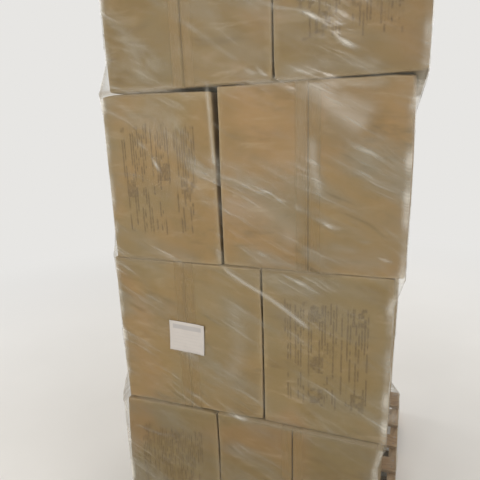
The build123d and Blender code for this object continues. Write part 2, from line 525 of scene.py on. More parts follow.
def print_marks(place, tone):
    """Rows of plain dashes that run up the panel, like faint shipping marks with no letters.

    A long paragraph hangs from the top, a short one stands below it, and both are ragged.
    """
    across, up, printed = place.split()
    row = across / ROW_PITCH
    number = row.calc("FLOOR")
    chances = outputs(node(place.tree, "TexWhiteNoise", {"Vector": joined(number, tone)}))
    reach, foot, chance = chances["Color"].split("Color")
    stroke = abs(row.calc("FRACT") - 0.5).rise(0.46, 0.16)
    word = joined(up * 34.0, number * 3.7, tone).speckle(1.0, 0.0).rise(0.34, 0.44, 1.0, 0.12)
    letter = joined(up * 190.0, across * 260.0, tone).speckle(1.0, 1.0)
    letter = letter.rise(0.32, 0.6, 1.0, 0.25)
    long_part = (up - (reach * -0.23 + 0.09)).rise(0.0, 0.004)
    short_part = (foot * 0.22 - 0.25 - up).rise(0.0, 0.004)
    marks = long_part.calc("MAXIMUM", short_part) * stroke * word * letter
    marks = marks * chance.calc("GREATER_THAN", 0.16)

    column, step = (v.calc("FLOOR") for v in (across / BLOCK_SIZE[0], up / BLOCK_SIZE[1]))
    cell = joined(column, step, tone * 31.0)
    filled = field(place.tree, "TexWhiteNoise", {"Vector": cell}, "Value")
    marks = marks.calc("MAXIMUM", filled.rise(0.82, 0.84, 0.9) * letter * word)
    ragged = chances["Value"] * -PRINT_RAGGED + PRINT_HALF_HEIGHT
    for past in (abs(up) - ragged, abs(across) - PRINT_HALF_WIDTH):
        marks = marks * past.rise(0.004, 0.0)
    return marks * printed


def kraft_look(tree):
    """Brown corrugated board: fibre, cloudy stains, faint flute lines, rubbed edges and ink.

    The lighter band along every edge is partly rubbed board and partly a painted highlight
    on the rounded folds.
    """
    place, body = kept(tree, "panel_place", "Vector"), body_place(tree)
    tone, edge = kept(tree, "tone"), kept(tree, "edge_distance")
    fibre = use_group(tree, FIBRE, {"Place": body, "Fleck Scale": 700.0, "Cloud Scale": 7.0})
    wear = use_group(tree, WEAR, {"Edge Distance": edge, "Reach": 0.012, "Place": body})
    scuff = body.scaled(6.0, 6.0, 24.0).speckle(1.0, 5.0, 0.65, 0.5)
    warm = body.speckle(2.6, 2.0, 0.5, 0.6)
    cloud, fleck = fibre["Cloud"], fibre["Fleck"]
    flute = (place.split()[1] * (math.tau / FLUTE_PITCH)).calc("SINE")
    colour = layered(
        tone.tint((0.240, 0.173, 0.071), (0.315, 0.192, 0.077)),
        (cloud.rise(0.35, 0.7, 0.55), (0.205, 0.143, 0.060)),
        (scuff.rise(0.52, 0.76, 0.6), (0.40, 0.31, 0.19)),
        (scuff.rise(0.48, 0.22, 0.7), (0.16, 0.108, 0.045)),
        (warm.rise(0.52, 0.68, 0.5), (0.330, 0.190, 0.082)),
        (warm.rise(0.50, 0.34, 0.5), (0.232, 0.180, 0.090)),
        (fleck.rise(0.58, 0.75, 0.3), (0.38, 0.28, 0.15)),
        (fleck.rise(0.42, 0.28, 0.3), (0.15, 0.095, 0.04)),
        # Lighter band along every edge: partly rubbed board, partly painted highlight on the folds
        (edge.rise(0.026, 0.002, 0.3) * cloud.rise(0.35, 0.6), (0.38, 0.29, 0.165)),
        (wear["Wear"] * 0.5, (0.43, 0.33, 0.20)),
        # Painted shade: the top and bottom courses darkened, where less light falls on them
        (kept(tree, "darkness"), (0.05, 0.036, 0.015)),
        (print_marks(place, tone) * 0.74, (0.080, 0.051, 0.024)),
    )
    return {
        "Base Color": colour,
        "Roughness": cloud.rise(0.3, 0.7, 0.8, 0.62),
        "Specular IOR Level": 0.35,
        "Normal": bump(flute * 0.016 + fibre["Height"], 0.10, 0.0012),
    }


def tape_look(tree):
    """Tan packing tape with pulled streaks: the board shows through it, and the flap slit's shadow
    is painted on it.
    """
    pull, shade = kept(tree, "pull", "Vector"), kept(tree, "slit_shade")
    streak = use_group(tree, STREAKS, {"Pull": pull, "Fineness": 1.6})
    # Painted shadow of the flap slit: over the slit the tape is painted dark and made more opaque
    slit = abs(pull.split()[1]).rise(0.0026, 0.0012)
    tan = streak["Crease"].tint((0.375, 0.250, 0.105), (0.430, 0.300, 0.135))
    covered = slit * shade.calc("GREATER_THAN", 0.01) * 0.7
    return {
        "Base Color": (slit * shade).tint(tan, (0.045, 0.035, 0.02)),
        "Roughness": streak["Line"].rise(0.3, 0.7, 0.5, 0.36),
        "Alpha": streak["Crease"].rise(0.35, 0.7, 0.27, 0.20).calc("MAXIMUM", covered),
        "Specular IOR Level": 0.3,
        "Normal": bump(streak["Height"], 0.1, 0.0006),
    }


def film_look(tree):
    """Clear stretch film: nearly unseen where it is taut, milky where it folds and overlaps.

    Its whitest parts are partly painted highlights, the dark streaks in some creases are painted
    shade, and board colour is painted over the dark gap at each course's foot.
    """
    pull, haze, bridge = kept(tree, "pull", "Vector"), kept(tree, "haze"), kept(tree, "bridge")
    streak = use_group(tree, STREAKS, {"Pull": pull, "Fineness": 1.0})
    patch = pull.scaled(1.7, 4.4, 1.0).speckle(1.0, 3.0, 0.5, 0.4)
    cloud = pull.scaled(3.0, 8.5, 1.0).speckle(1.0, 4.0, 0.6, 0.6)
    creased = patch.rise(0.44, 0.62)
    creases = streak["Crease"].rise(0.5, 0.8)
    fine = creases * 0.22 + streak["Line"].rise(0.56, 0.78) * 0.12
    veil = fine * (haze * 1.8 + (creased * 0.85 + 0.08))
    broad = cloud.rise(0.42, 0.68, 0.30) * (creased * 0.75 + 0.25)
    # Painted shade: dark streaks in the troughs of some creases, where the film is not milky
    shade = streak["Crease"].rise(0.44, 0.24) * patch.rise(0.38, 0.6) * haze.rise(0.4, 0.1)
    alpha = haze * 0.6 + 0.012 + veil + shade * 0.2 + broad
    # Lighter along the creases, and white where the film is milkiest: partly milky film, partly
    # painted glints and sheen
    colour = layered(
        creases.tint((0.37, 0.35, 0.28), (0.53, 0.505, 0.44)),
        (haze.rise(0.15, 0.8), (0.78, 0.75, 0.68)),
        # Board colour painted over the dark gap at each course's foot
        (bridge.rise(0.0, 0.4), (0.32, 0.265, 0.18)),
        (shade, (0.085, 0.07, 0.038)),
    )
    return {
        "Base Color": colour,
        "Roughness": haze.rise(0.0, 0.8, 0.3, 0.13),
        "Alpha": alpha.calc("MAXIMUM", bridge).calc("MINIMUM", 0.88),
        "IOR": 1.5,
        "Specular IOR Level": 0.45,
        "Normal": bump(streak["Height"] * (creased * 0.8 + 0.3), 0.4, 0.0025),
    }


def label_look(tree):
    """White label paper with a grey printed band and a few faint rules."""
    place = kept(tree, "panel_place", "Vector")
    fibre = use_group(tree, FIBRE, {"Place": place, "Fleck Scale": 1500.0, "Cloud Scale": 30.0})
    across, up, _ = place.split()
    inside = abs(across).rise(0.056, 0.054)
    band = up.rise(0.028, 0.030) * up.rise(0.047, 0.045) * inside
    rules = (up / LABEL_RULE_PITCH).calc("FRACT").rise(0.12, 0.08) * up.rise(0.024, 0.022)
    colour = layered(
        fibre["Cloud"].tint((0.49, 0.455, 0.43), (0.56, 0.525, 0.495)),
        (band * 0.6, (0.34, 0.33, 0.34)),
        (rules * inside * 0.25, (0.3, 0.3, 0.32)),
    )
    roughness = fibre["Cloud"].rise(0.2, 0.8, 0.62, 0.5)
    normal = bump(fibre["Height"], 0.15, 0.0004)
    return {"Base Color": colour, "Roughness": roughness, "Normal": normal}


def timber_look(tree):
    """Rough sawn softwood: rings and fibres along the board, saw marks, grime and rubbed edges."""
    place, tone = kept(tree, "grain_place", "Vector"), kept(tree, "tone")
    edge = kept(tree, "edge_distance")
    wear = use_group(tree, WEAR, {"Edge Distance": edge, "Reach": 0.009, "Place": place})
    warp = place.scaled(0.9, 9.0, 9.0).speckle(1.0, 3.0, 0.5)
    ring = (place.scaled(0.06, 1.0, 1.0).length() * 900.0 + warp * 16.0).calc("SINE")
    fibres = place.scaled(12.0, 420.0, 420.0).speckle(1.0, 3.0, 0.65)
    saw = place.scaled(260.0, 14.0, 14.0).speckle(1.0, 1.0, 0.5)
    grime = place.speckle(5.0, 5.0, 0.65)
    colour = layered(
        tone.tint((0.34, 0.22, 0.12), (0.46, 0.33, 0.2)),
        (ring.rise(-0.2, 1.0, 0.5), (0.22, 0.125, 0.06)),
        (fibres.rise(0.45, 0.75, 0.5), (0.17, 0.11, 0.065)),
        (grime.rise(0.5, 0.78, 0.55), (0.13, 0.1, 0.075)),
        (wear["Wear"] * 0.5, (0.55, 0.43, 0.29)),
    )
    normal = bump(saw * 0.7 + fibres, 0.6, 0.0012)
    return {"Base Color": colour, "Roughness": fibres.rise(0.2, 0.8, 0.9, 0.7), "Normal": normal}


def nail_look(tree):
    """Dull nail heads, partly rusted."""
    rust = body_place(tree).speckle(260.0, 3.0, 0.6).rise(0.42, 0.6)
    return {
        "Base Color": rust.tint((0.3, 0.29, 0.28), (0.14, 0.065, 0.03)),
        "Roughness": rust * 0.4 + 0.4,
        "Metallic": rust * -1.0 + 1.0,
        "Normal": bump(rust, 0.3, 0.0005),
    }


def floor_look(tree):
    """A pale matt floor."""
    place = body_place(tree)
    colour = place.speckle(1.3, 3.0).tint((0.68, 0.67, 0.65), (0.74, 0.73, 0.71))
    return {"Base Color": colour, "Roughness": place.speckle(2.0).rise(0.2, 0.8, 0.75, 0.6)}


KRAFT = new_material("kraft_board", kraft_look)
TAPE = new_material("packing_tape", tape_look)
FILM = new_material("stretch_film", film_look)
LABEL_PAPER = new_material("label_paper", label_look)
TIMBER = new_material("pallet_wood", timber_look)
NAIL_STEEL = new_material("nail_steel", nail_look)
FLOOR = new_material("pale_floor", floor_look)


def fade_floor():
    """Melts the floor into the surround further out, so that it keeps only the load's shadow."""
    tree = FLOOR.node_tree
    far = body_place(tree).length().rise(0.9, 5.0) * field(tree, "LightPath", None, "Is Camera Ray")
    near = Field(tree.nodes["Principled BSDF"].outputs[0])
    glow = field(tree, "Emission", {"Color": PALE, "Strength": 1.0})
    mixed = field(tree, "MixShader", {0: far, 1: near, 2: glow})
    feed(tree.nodes["Material Output"], {"Surface": mixed})


class Carton:
    """One carton: where it stands, how it is turned and how its board has bent.

    Its own axes are a across the flap face, b through the carton and c up.
    """

    def __init__(self, course, name, index):
        self.name = f"course_{course}_{name}"
        self.node = "carton_" + self.name
        self.darkness = PAINTED_COURSE_SHADE[course - 1]
        self.turned = name in TURNED
        self.seed = 100 * course + index
        low, high = np.array(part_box(self.node))
        self.centre = (low + high) / 2
        self.reach = (high - low) / 2
        self.half = self.reach[[1, 0, 2]] if self.turned else self.reach
        rng = np.random.default_rng(self.seed)
        self.tone, *self.leans = FRONT_CARTONS.get(self.name, (rng.uniform(0.1, 0.9),))
        self.bow = rng.uniform(0.5, 1.4, 4) * MM
        self.sag = rng.uniform(0.4, 1.0) * MM
        self.crush = rng.uniform(0.0, 1.0, 8) ** 3 * 7.0 * MM
        self.outer_bow = rng.uniform(2.5, 5.5, 4) * MM
        self.flap_lift = rng.uniform(-0.9, 0.7, 4) * MM
        self.dents = [
            (int(rng.integers(0, 2)), rng.choice((-1.0, 1.0)), rng.uniform(-0.85, 0.85, 2),
             rng.uniform(20, 70) * MM, rng.uniform(1.0, 3.4) * MM)
            for _ in range(DENTS)
        ]

    def turn(self, points):
        """Points on the carton's own axes, turned to the load's axes."""
        points = np.asarray(points, float)
        if self.turned:
            points = packed(-points[..., 1], points[..., 0], points[..., 2])
        return points

    def panel(self, axis, sign):
        """Which of the four bowed panels looks one way along an axis of the load."""
        if self.turned:
            axis, sign = 1 - axis, sign if axis else -sign
        return 2 * axis + (sign > 0)

    def touches(self, axis, sign, level):
        """Whether the carton reaches a level, given as its distance from the load's middle."""
        return abs(sign * self.centre[axis] + self.reach[axis] - level) < TOUCHING

    def free_outer_panels(self, low, high):
        """Lets the panels on the outside of the course bow further than the hidden ones."""
        for axis in (0, 1):
            for sign, level in ((-1, -low[axis]), (1, high[axis])):
                if self.touches(axis, sign, level):
                    k = self.panel(axis, sign)
                    self.bow[k] = self.outer_bow[k]

    def bend(self, points):
        """Bows, ripples and crushes points given on the carton's own axes."""
        n = points / self.half
        dome = np.clip(1.0 - n ** 2, 0.0, 1.0)
        move = np.zeros_like(points)
        for axis, other in ((0, 1), (1, 0)):
            bow = np.where(n[..., axis] < 0, self.bow[2 * axis], self.bow[2 * axis + 1])
            flat_part = dome[..., other] * dome[..., 2]
            ripple = swell(points, self.seed + 7 * axis, 0.3) * 0.7
            ripple += swell(points, self.seed + 31 + axis, 0.09) * 0.2
            move[..., axis] += n[..., axis] * bow * flat_part
            move[..., axis] += n[..., axis] ** 3 * ripple * MM * np.sqrt(flat_part)
        move[..., 2] -= n[..., 2] * self.sag * dome[..., 0] * dome[..., 1]

        # Wavering upright folds, then worn flap ends
        at_flaps = near_end(np.abs(n[..., 1]), 0.86)
        for axis, start, seed, size, least, depth in (
            (0, 0.9, 53, 0.2, 1.0, 1.1),
            (2, 0.93, 59, 0.16, 0.6, 1.3),
        ):
            dips = (swell(points, self.seed + seed, size) + least).clip(0.0, 3.0) * depth * MM
            along = n[..., axis]
            move[..., axis] -= np.sign(along) * dips * near_end(np.abs(along), start) * at_flaps

        for axis, side, spot, size, depth in self.dents:
            across = points[..., 1 - axis] - spot[0] * self.half[1 - axis]
            up = points[..., 2] - spot[1] * self.half[2]
            hollow = hump(across, size) * hump(up, size * 1.4)
            move[..., axis] -= side * depth * hollow * near_end(side * n[..., axis], 0.8)
        for k in range(4):
            side, flap = (k >> 1) * 2 - 1, (k & 1) * 2 - 1
            lift = self.flap_lift[k] * hump(points[..., 0], FLAP_LIFT_REACH)
            lift = lift * (points[..., 0] * flap > 0)
            move[..., 1] += side * lift * near_end(side * n[..., 1], 0.9)
        for k in range(8):
            corner = np.array([k & 1, k >> 1 & 1, k >> 2 & 1]) * 2.0 - 1.0
            far = np.linalg.norm(points - corner * self.half, axis=-1)
            push = self.crush[k] * hump(far, CRUSH_REACH)
            move -= push[..., None] * corner * (0.5, 0.5, 0.7)
        return points + move + self.lean(n)

    def lean(self, n):
        """How far the crushed front corners carry points, given as shares of the half sizes."""
        move = np.zeros_like(n)
        right, back, up = np.moveaxis(self.turn(n), -1, 0)
        axis, sign = (1, -1) if self.turned else (0, 1)
        for side, end, along_x, along_z in self.leans:
            share = (1 + side * right) * (1 + end * up) * (1 - back) / 8
            share = np.clip(share, 0.0, 1.0) ** 1.3 * MM
            move[..., axis] += sign * share * along_x
            move[..., 2] += share * along_z
        return move

    def to_load(self, points):
        """Points on the carton's own axes, bent and moved to where it stands."""
        return self.turn(self.bend(points)) + self.centre

    def build(self):
        """The carton's mesh, which stands for its CAD node."""
        folds = round_cuts(FOLD_RADIUS)
        slit = (FLAP_SLIT / 2, FLAP_SLIT / 2 + 0.8 * MM)
        extra = ((folds, slit), (folds + (BOARD + 0.6 * MM,),), (folds + (CUT_EDGE, 9.0 * MM),))
        cuts = [even_cuts(h, CARTON_GRID, *more) for h, more in zip(self.half, extra)]
        flat, faces, looks = box_lattice(cuts)
        points = self.to_load(self.shape_board(flat))
        piece = new_piece("board_" + self.name, points, faces, KRAFT)
        note(piece, "edge_distance", edge_distance(flat, self.half))
        note(piece, "tone", self.tone)
        note(piece, "darkness", self.darkness)
        note(piece, "panel_place", self.panel_places(flat, faces, looks), "CORNER")
        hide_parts(self.node)
        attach(piece, "root")

    def shape_board(self, flat):
        """Rounds the folds, opens the slit between the flaps and sets their cut ends back.

        The board is a tube of four panels round the b axis, closed by flaps at both ends of it.
        """
        half = self.half
        points = flat.copy()
        from_end = half[2] - np.abs(flat[:, 2])
        in_flap = np.abs(flat[:, 1]) > half[1] - BOARD - 0.1 * MM
        tube = rounded(flat[:, [0, 2]], half[[0, 2]], FOLD_RADIUS)
        points[:, [0, 2]] = np.where(in_flap[:, None], flat[:, [0, 2]], tube)

        limit = half[:2] - np.clip(CUT_EDGE - from_end, 0, None)[:, None]
        flaps = rounded(np.clip(flat[:, :2], -limit, limit), limit, FOLD_RADIUS)
        points[in_flap, :2] = flaps[in_flap]
        ease = 1.0 - smooth(from_end / SETBACK_EASE)
        points[:, 2] -= np.sign(flat[:, 2]) * FLAP_SETBACK * ease * in_flap
        on_face = half[1] - np.abs(flat[:, 1]) < 0.01 * MM
        in_slit = on_face & (np.abs(flat[:, 0]) < FLAP_SLIT / 2 + 0.1 * MM)
        points[in_slit, 1] -= np.sign(flat[in_slit, 1]) * BOARD
        return points

    def panel_places(self, flat, faces, looks):
        """Across, up and whether it is printed, for each corner of each face."""
        a, b, c = np.moveaxis(flat[faces], -1, 0)
        look = looks[:, None]
        places = packed(np.where(look == 0, b, a), np.where(look == 2, b, c), look == 0)
        return places.reshape(-1, 3)


def tape_path(half):
    """The tape's run in the b-c plane, from one leg over the carton's face to the other leg."""
    out = TAPE_LIFT + TAPE_GAUGE
    face, end = half[1] + out, half[2] + out
    legs = np.linspace(half[1] - TAPE_LEG, face - 2.0 * MM, 6)
    turn = [(face - 0.6 * MM, end - 0.2 * MM), (face, end - 1.6 * MM)]
    run = [(face, c) for c in np.linspace(9.0 * MM - end, end - 9.0 * MM, 22)]
    upper = turn[::-1] + [(b, end) for b in legs[::-1]]
    return np.array([(b, -c) for b, c in upper[::-1]] + run + upper)


def build_tape(course, cartons):
    """All the tape of a course, as one piece."""
    points, faces, pulls, slit_shadows = [], [], [], []
    for carton in cartons:
        path = tape_path(carton.half)
        length = np.cumsum(np.r_[0, np.linalg.norm(np.diff(path, axis=0), axis=1)])[:, None]
        a, b, c = np.broadcast_arrays(TAPE_COLUMNS, path[:, :1], path[:, 1:])
        on_face = b >= carton.half[1]
        dip = np.where((np.abs(a) < 2 * MM) & on_face, TAPE_DIP, 0.0)
        for side in (-1, 1):
            rng = np.random.default_rng(carton.seed + 900 + side)
            skew = rng.uniform(-2.5, 2.5) * MM + c * rng.uniform(-0.006, 0.006)
            outer = carton.bend(packed(a + skew, side * (b - dip), c))
            inward = np.where(on_face[..., None], (0, side, 0), packed(0, 0, np.sign(c)))
            inner = outer - inward * TAPE_GAUGE
            pull = packed(length, a, carton.seed + side)
            if side > 0:
                outer, inner, pull = (grid[:, ::-1] for grid in (outer, inner, pull))
            strip, quads = closed_strip(outer, inner)
            faces.append(quads + len(points) * len(strip))
            points.append(carton.turn(strip) + carton.centre)
            pulls += [pull.reshape(-1, 3)] * 2
            # How strong the painted shadow of the flap slit is, on the carton's face only
            slit_shadows += [on_face.ravel() * SLIT_PAINTED_SHADOW[course - 1]] * 2
    points, faces, pulls, slit_shadows = map(np.concatenate, (points, faces, pulls, slit_shadows))
    piece = new_piece(f"tape_strips_course_{course}", points, faces, TAPE)
    note(piece, "pull", pulls)
    note(piece, "slit_shade", slit_shadows)
    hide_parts(f"tape_course_{course}")
    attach(piece, "root")


def build_load():
    """Every carton and its tape. Returns the cartons, course by course."""
    courses = []
    for course in range(1, COURSES + 1):
        cartons = [Carton(course, name, k) for k, name in enumerate(TURNED + FLAT)]
        low, high = outer_box([carton.node for carton in cartons])
        for carton in cartons:
            carton.free_outer_panels(low, high)
            carton.build()
        build_tape(course, cartons)
        courses.append(cartons)
    return courses


class Wrap:
    """The run of film round the load: how far it stands out at each height.

    Its levels are the pallet's deck and the courses, each as its lowest and highest edge and how
    far its front, right, back and left stand out from the middle.
    """

    def __init__(self, courses):
        self.courses = courses
        film_low, film_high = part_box("stretch_film")
        self.hem, self.top = film_low[2], film_high[2]
        layers = [[f"pallet_top_board_{n}" for n in (1, 7)]]
        layers += [[carton.node for carton in cartons] for cartons in courses]
        self.levels = []
        for nodes in layers:
            low, high = outer_box(nodes)
            self.levels.append((low[2], high[2], (-low[1], high[0], high[1], -low[0])))

    def reach(self, z):
        """The taut film's distance from the middle on all four sides, for an array of heights."""
        sides = []
        for side in range(4):
            heights, outs = [], []
            for lower, upper in zip(self.levels, self.levels[1:]):
                low_out, high_out = lower[2][side], upper[2][side]
                start = upper[0] - FILM_SLANT if high_out > low_out else lower[1]
                heights += (start, start + FILM_SLANT)
                outs += (low_out, high_out)
            sides.append(np.interp(z, heights, outs))
        return np.stack(sides, -1)


def ridge(across, up, start, end, half_width):
    """One along the line from start to end, fading over half_width and towards its ends."""
    line = end - start
    length = np.linalg.norm(line)
    line = line / length
    along = (across - start[0]) * line[0] + (up - start[1]) * line[1]
    off = (across - start[0]) * -line[1] + (up - start[1]) * line[0]
    wander = 0.35 * half_width * np.sin(along * 19.0 + start[0] * 40)
    fade = smooth((along + 0.03) / 0.06) * smooth((length + 0.03 - along) / 0.06)
    return hump(off - wander, half_width) * fade


def side_folds(side):
    """A side's folds: start, end, half width, milkiness and height in millimetres. On the
    front the milkiness is partly painted glints and painted sheen.

    Sides that the photograph doesn't show have random folds in the same manner.
    """
    if side == 0:
        rows = np.array(FRONT_FOLDS)
        rows[:, :5] *= MM
        return [(row[:2], row[2:4], *row[4:]) for row in rows]
    rng = np.random.default_rng(40 + side)
    folds = []
    for _ in range(OTHER_FOLDS):
        start = np.array([rng.uniform(-0.6, 0.45), rng.uniform(0.25, 2.3)])
        length = rng.uniform(0.1, 0.5)
        fall = math.radians(rng.uniform(12, 34))
        end = start + length * np.array([math.cos(fall), -math.sin(fall)])
        width = rng.choice([0.009, 0.011, 0.02, 0.04])
        milk_and_glint = rng.uniform(0.2, 0.6) * (0.6 if width > 0.015 else 1.0)
        folds.append((start, end, width, milk_and_glint, rng.uniform(0.8, 2.4)))
    return folds


class FilmSide:
    """The film over one side of the load, as a grid of points from the hem up.

    A column has its share of the flat between two corners, a row has its height z, and a point
    has its run along the side from the pallet's middle.
    """

    def __init__(self, wrap, side, name, out, pitch, fall):
        self.wrap, self.side, self.name = wrap, side, name
        self.out, self.onward = np.array(out), np.array([-out[1], out[0]])
        self.axis = 0 if out[0] else 1
        self.sign, self.direction = self.out.sum(), self.onward.sum()
        reach = wrap.levels[1][2]
        self.width = reach[(side - 1) % 4] + reach[(side + 1) % 4]
        flat = np.linspace(0.0, 1.0, round(self.width / pitch) + 1)
        turn = np.array([1.0, 0.66, 0.33]) * math.pi / 4
        self.share = np.r_[np.zeros(3), flat, np.ones(3)]
        self.bend = np.r_[-turn, flat * 0, turn[::-1]][:, None]
        self.calm_ends = np.sin(np.pi * self.share) ** 0.5
        rows = round((wrap.top - wrap.hem) / pitch) + 1
        self.z = np.linspace(wrap.hem, wrap.top - FILM_CORNER, rows)[:, None]
        self.reach = wrap.reach(self.z)
        self.run = self.run_at(self.reach, FILM_CORNER)
        self.fall = math.radians(fall)

    def run_at(self, reach, radius):
        """How far along the side each point lies, for the film's reach on all four sides."""
        before, after = reach[..., (self.side - 1) % 4], reach[..., (self.side + 1) % 4]
        return self.share * (before + after - 2 * radius) - (before - radius)

    def points(self, reach, radius, lift, height):
        """Points of the film, which stands off by lift and turns its corners with radius."""
        radial = np.cos(self.bend) * self.out + np.sin(self.bend) * self.onward
        flat = self.run_at(reach, radius)[..., None] * self.onward
        depth = (reach[..., self.side] - radius)[..., None] * self.out
        spots = flat + depth + (radius + lift)[..., None] * radial
        return np.concatenate([spots, height[..., None]], -1)

    def pull(self, run, z):
        """The places along the film's pull and across it."""
        along = run * math.cos(self.fall) - z * math.sin(self.fall)
        return along, run * math.sin(self.fall) + z * math.cos(self.fall)

    def swell(self, seed, size, *parts, waves=7):
        """Smooth random heights of this side's own, over places made of the given parts."""
        return swell(packed(*parts), seed + self.side, size, waves)

    def facing(self):
        """The cartons that touch this side, course by course, in the order of its run."""
        rows = []
        for cartons, level in zip(self.wrap.courses, self.wrap.levels[1:]):
            row = [c for c in cartons if c.touches(self.axis, self.sign, level[2][self.side])]
            rows.append(sorted(row, key=lambda c: self.direction * c.centre[1 - self.axis]))
        return rows

    def bow(self):
        """How far the film stands out where panels bow, and dips over gaps between cartons."""
        push, dip = np.zeros((2, *self.run.shape))
        for row in self.facing():
            last_end = None
            for carton in row:
                place = self.direction * carton.centre[1 - self.axis]
                half = carton.reach[1 - self.axis]
                up_dome = np.clip(1 - ((self.z - carton.centre[2]) / carton.reach[2]) ** 2, 0, 1)
                dome = np.clip(1 - ((self.run - place) / half) ** 2, 0, 1) * up_dome
                push = np.maximum(push, carton.bow[carton.panel(self.axis, self.sign)] * dome)
                if last_end is not None:
                    gap = place - half - last_end
                    across = np.clip((self.run - last_end) / gap, 0, 1)
                    sunk = min(0.09 * gap, 8 * MM) * np.sin(np.pi * across)
                    dip = np.maximum(dip, sunk * up_dome ** 0.4)
                last_end = place + half
        return push - dip

    def layers(self):
        """How many passes of the web lie over each point, and how near their edges are."""
        share = self.share
        layers, edges = np.zeros((2, *self.run.shape))
        for k in range(self.side, len(WEB_HEIGHTS) - 1, 4):
            middle = WEB_HEIGHTS[k] + (WEB_HEIGHTS[k + 1] - WEB_HEIGHTS[k]) * share
            slack = 0.012 * np.sin(share * 9.0 + k) + 0.006 * np.sin(share * 31.0 + 2.0 * k)
            neck = WEB_WIDTH / 2 * (1.0 - 0.07 * np.sin(np.pi * share)) + slack
            inside = neck - np.abs(self.z - middle)
            layers += smooth(inside / 0.006)
            unbroken = smooth(0.5 + 0.9 * np.sin(share * 7.0 + 1.3 * k))
            edges = np.maximum(edges, hump(inside, 0.0065) * unbroken)
        return layers, edges

    def slack(self):
        """How milky the film is, with its painted highlights, how far it stands off, and where
        board colour is painted over the dark gap at a course's foot.
        """
        run, z = self.run, self.z
        haze, bridge = np.zeros((2, *run.shape))
        lift = np.full(run.shape, FILM_CLEARANCE)
        for start, end, half_width, milk_and_glint, height in side_folds(self.side):
            band = ridge(run, z, start, end, half_width)
            if half_width < NARROW_FOLD and milk_and_glint < 0.5:
                patches = swell(packed(run, z * 2.0), int(1e3 * abs(start[0])), 0.07)
                band = band * (0.4 + 0.7 * smooth(0.5 + 0.7 * patches))
            # Milky folds, and on the front also painted glints and painted sheen, whiten the film
            # here
            haze = np.maximum(haze, milk_and_glint * band)
            lift += height * MM * band

        layers, ropes = self.layers()
        ropes *= smooth(0.4 + 0.8 * self.swell(57, 0.25, run, z * 0.2))
        haze = np.maximum(haze + 0.014 * layers, 0.26 * ropes)
        lift += (0.25 * layers + 1.2 * ropes) * MM

        # Painted highlight down the load's upright corners, where the film turns: partly film
        # bunched milky there, partly painted light
        to_corner = np.minimum(self.share, 1 - self.share) * self.width
        corner_haze_and_highlight = 0.42 * hump(to_corner, 0.012) + 0.2 * hump(to_corner, 0.05)
        patchy = 0.75 + 0.25 * self.swell(61, 1.0, run * 3.0, z * 9.0)
        haze = np.maximum(haze, patchy * corner_haze_and_highlight)

        along, off = self.pull(run, z)
        crinkle = self.swell(11, 1.0, along * 2.2, off * 20.0, self.side * 3.0, waves=9)
        crinkle = crinkle.clip(-0.2, 2.0)
        finer = self.swell(23, 1.0, along * 5.0, off * 46.0, waves=9)
        broad = smooth(self.swell(31, 1.0, along * 1.6, off * 4.0) * 0.6 + 0.4)
        lift += ((0.9 * crinkle + 0.35 * finer) * broad + 0.4) * MM
        haze += 0.08 * broad * crinkle.clip(0, 1)

        pleat = self.swell(71, 1.0, along * 3.0, off * 30.0, waves=9).clip(-0.1, 2)
        loose = smooth(0.75 + 0.7 * self.swell(101, 0.3, run, z * 0.1))
        for foot, _, _ in self.wrap.levels[1:]:
            near = hump(z - foot, 0.05)
            lift += 1.6 * MM * near * pleat
            haze += near * (0.03 + 0.16 * pleat.clip(0, 1))
            # Painted light: board colour laid over the dark gap where each course meets the one
            # below, lightening its shade
            bridge = np.maximum(bridge, 0.55 * loose * hump(z - foot, 0.012))
        return haze, lift + self.bow(), bridge

    def lip(self, lift):
        """The rows over the top edge and inwards across the top of the load."""
        top = self.wrap.top
        reach = self.wrap.reach(top)
        insets = np.r_[0.3, 1.0, np.linspace(2.2, 16.0, LIP_ROWS)][:, None] / 16.0 * FILM_LIP
        ragged = self.swell(91, 1.0, self.run_at(reach, FILM_CORNER) * 5.0, 0.0)
        ragged = 1 + 0.22 * ragged * self.calm_ends
        shrunk = reach - (insets * ragged)[..., None]
        radius = FILM_CORNER + insets * 0.5
        ripple = self.swell(81, 1.0, self.run_at(shrunk, radius) * 24.0, insets * 9.0, waves=9)
        flutter = (ripple + 1.0) * smooth(insets / FILM_LIP) * 2.2 * MM
        height = top - FILM_CORNER * (1 - smooth(insets / 0.012)) + flutter
        return self.points(shrunk, radius, lift * (1 - smooth(insets / 0.02)), height)

    def build(self):
        """This side's mesh, with its hem below and its lip over the top."""
        hem, top = self.wrap.hem, self.wrap.top
        haze, lift, bridge = self.slack()
        hem_wave = self.swell(97, 1.0, self.run * 6.0, self.side * 2.0)
        hem_fade = hump(self.z - hem, 0.03) * self.calm_ends
        lift += 1.2 * MM * hem_fade * (1 + hem_wave)
        waved = self.z + 7.0 * MM * (hem_wave - 0.4) * hem_fade
        lip = self.lip(lift[-1])
        points = np.concatenate([self.points(self.reach, FILM_CORNER, lift, waved), lip])

        added = ((0, len(lip)), (0, 0))
        haze = np.pad(haze, added, "edge")
        haze[-len(lip):] = haze[-len(lip):] * 0.6 + 0.08
        onto_lip = self.z[-1] + np.linspace(0, FILM_LIP, len(lip))[:, None]
        pull = self.pull(np.pad(self.run, added, "edge"), np.concatenate([self.z, onto_lip]))
        faces = grid_faces(*points.shape[:2])
        piece = new_piece("film_" + self.name, points.reshape(-1, 3), faces, FILM)
        note(piece, "haze", np.clip(haze, 0, 1).ravel())
        note(piece, "bridge", np.pad(bridge, added).ravel())
        note(piece, "pull", packed(*pull, 1.7 * self.side).reshape(-1, 3))
        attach(piece, "root")
        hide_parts("stretch_film")
        under = [carton.node for row in self.facing() for carton in row]


def build_film(courses):
    """The four sides of the wrap."""
    wrap = Wrap(courses)
    for side, row in enumerate(FILM_SIDES):
        FilmSide(wrap, side, *row).build()


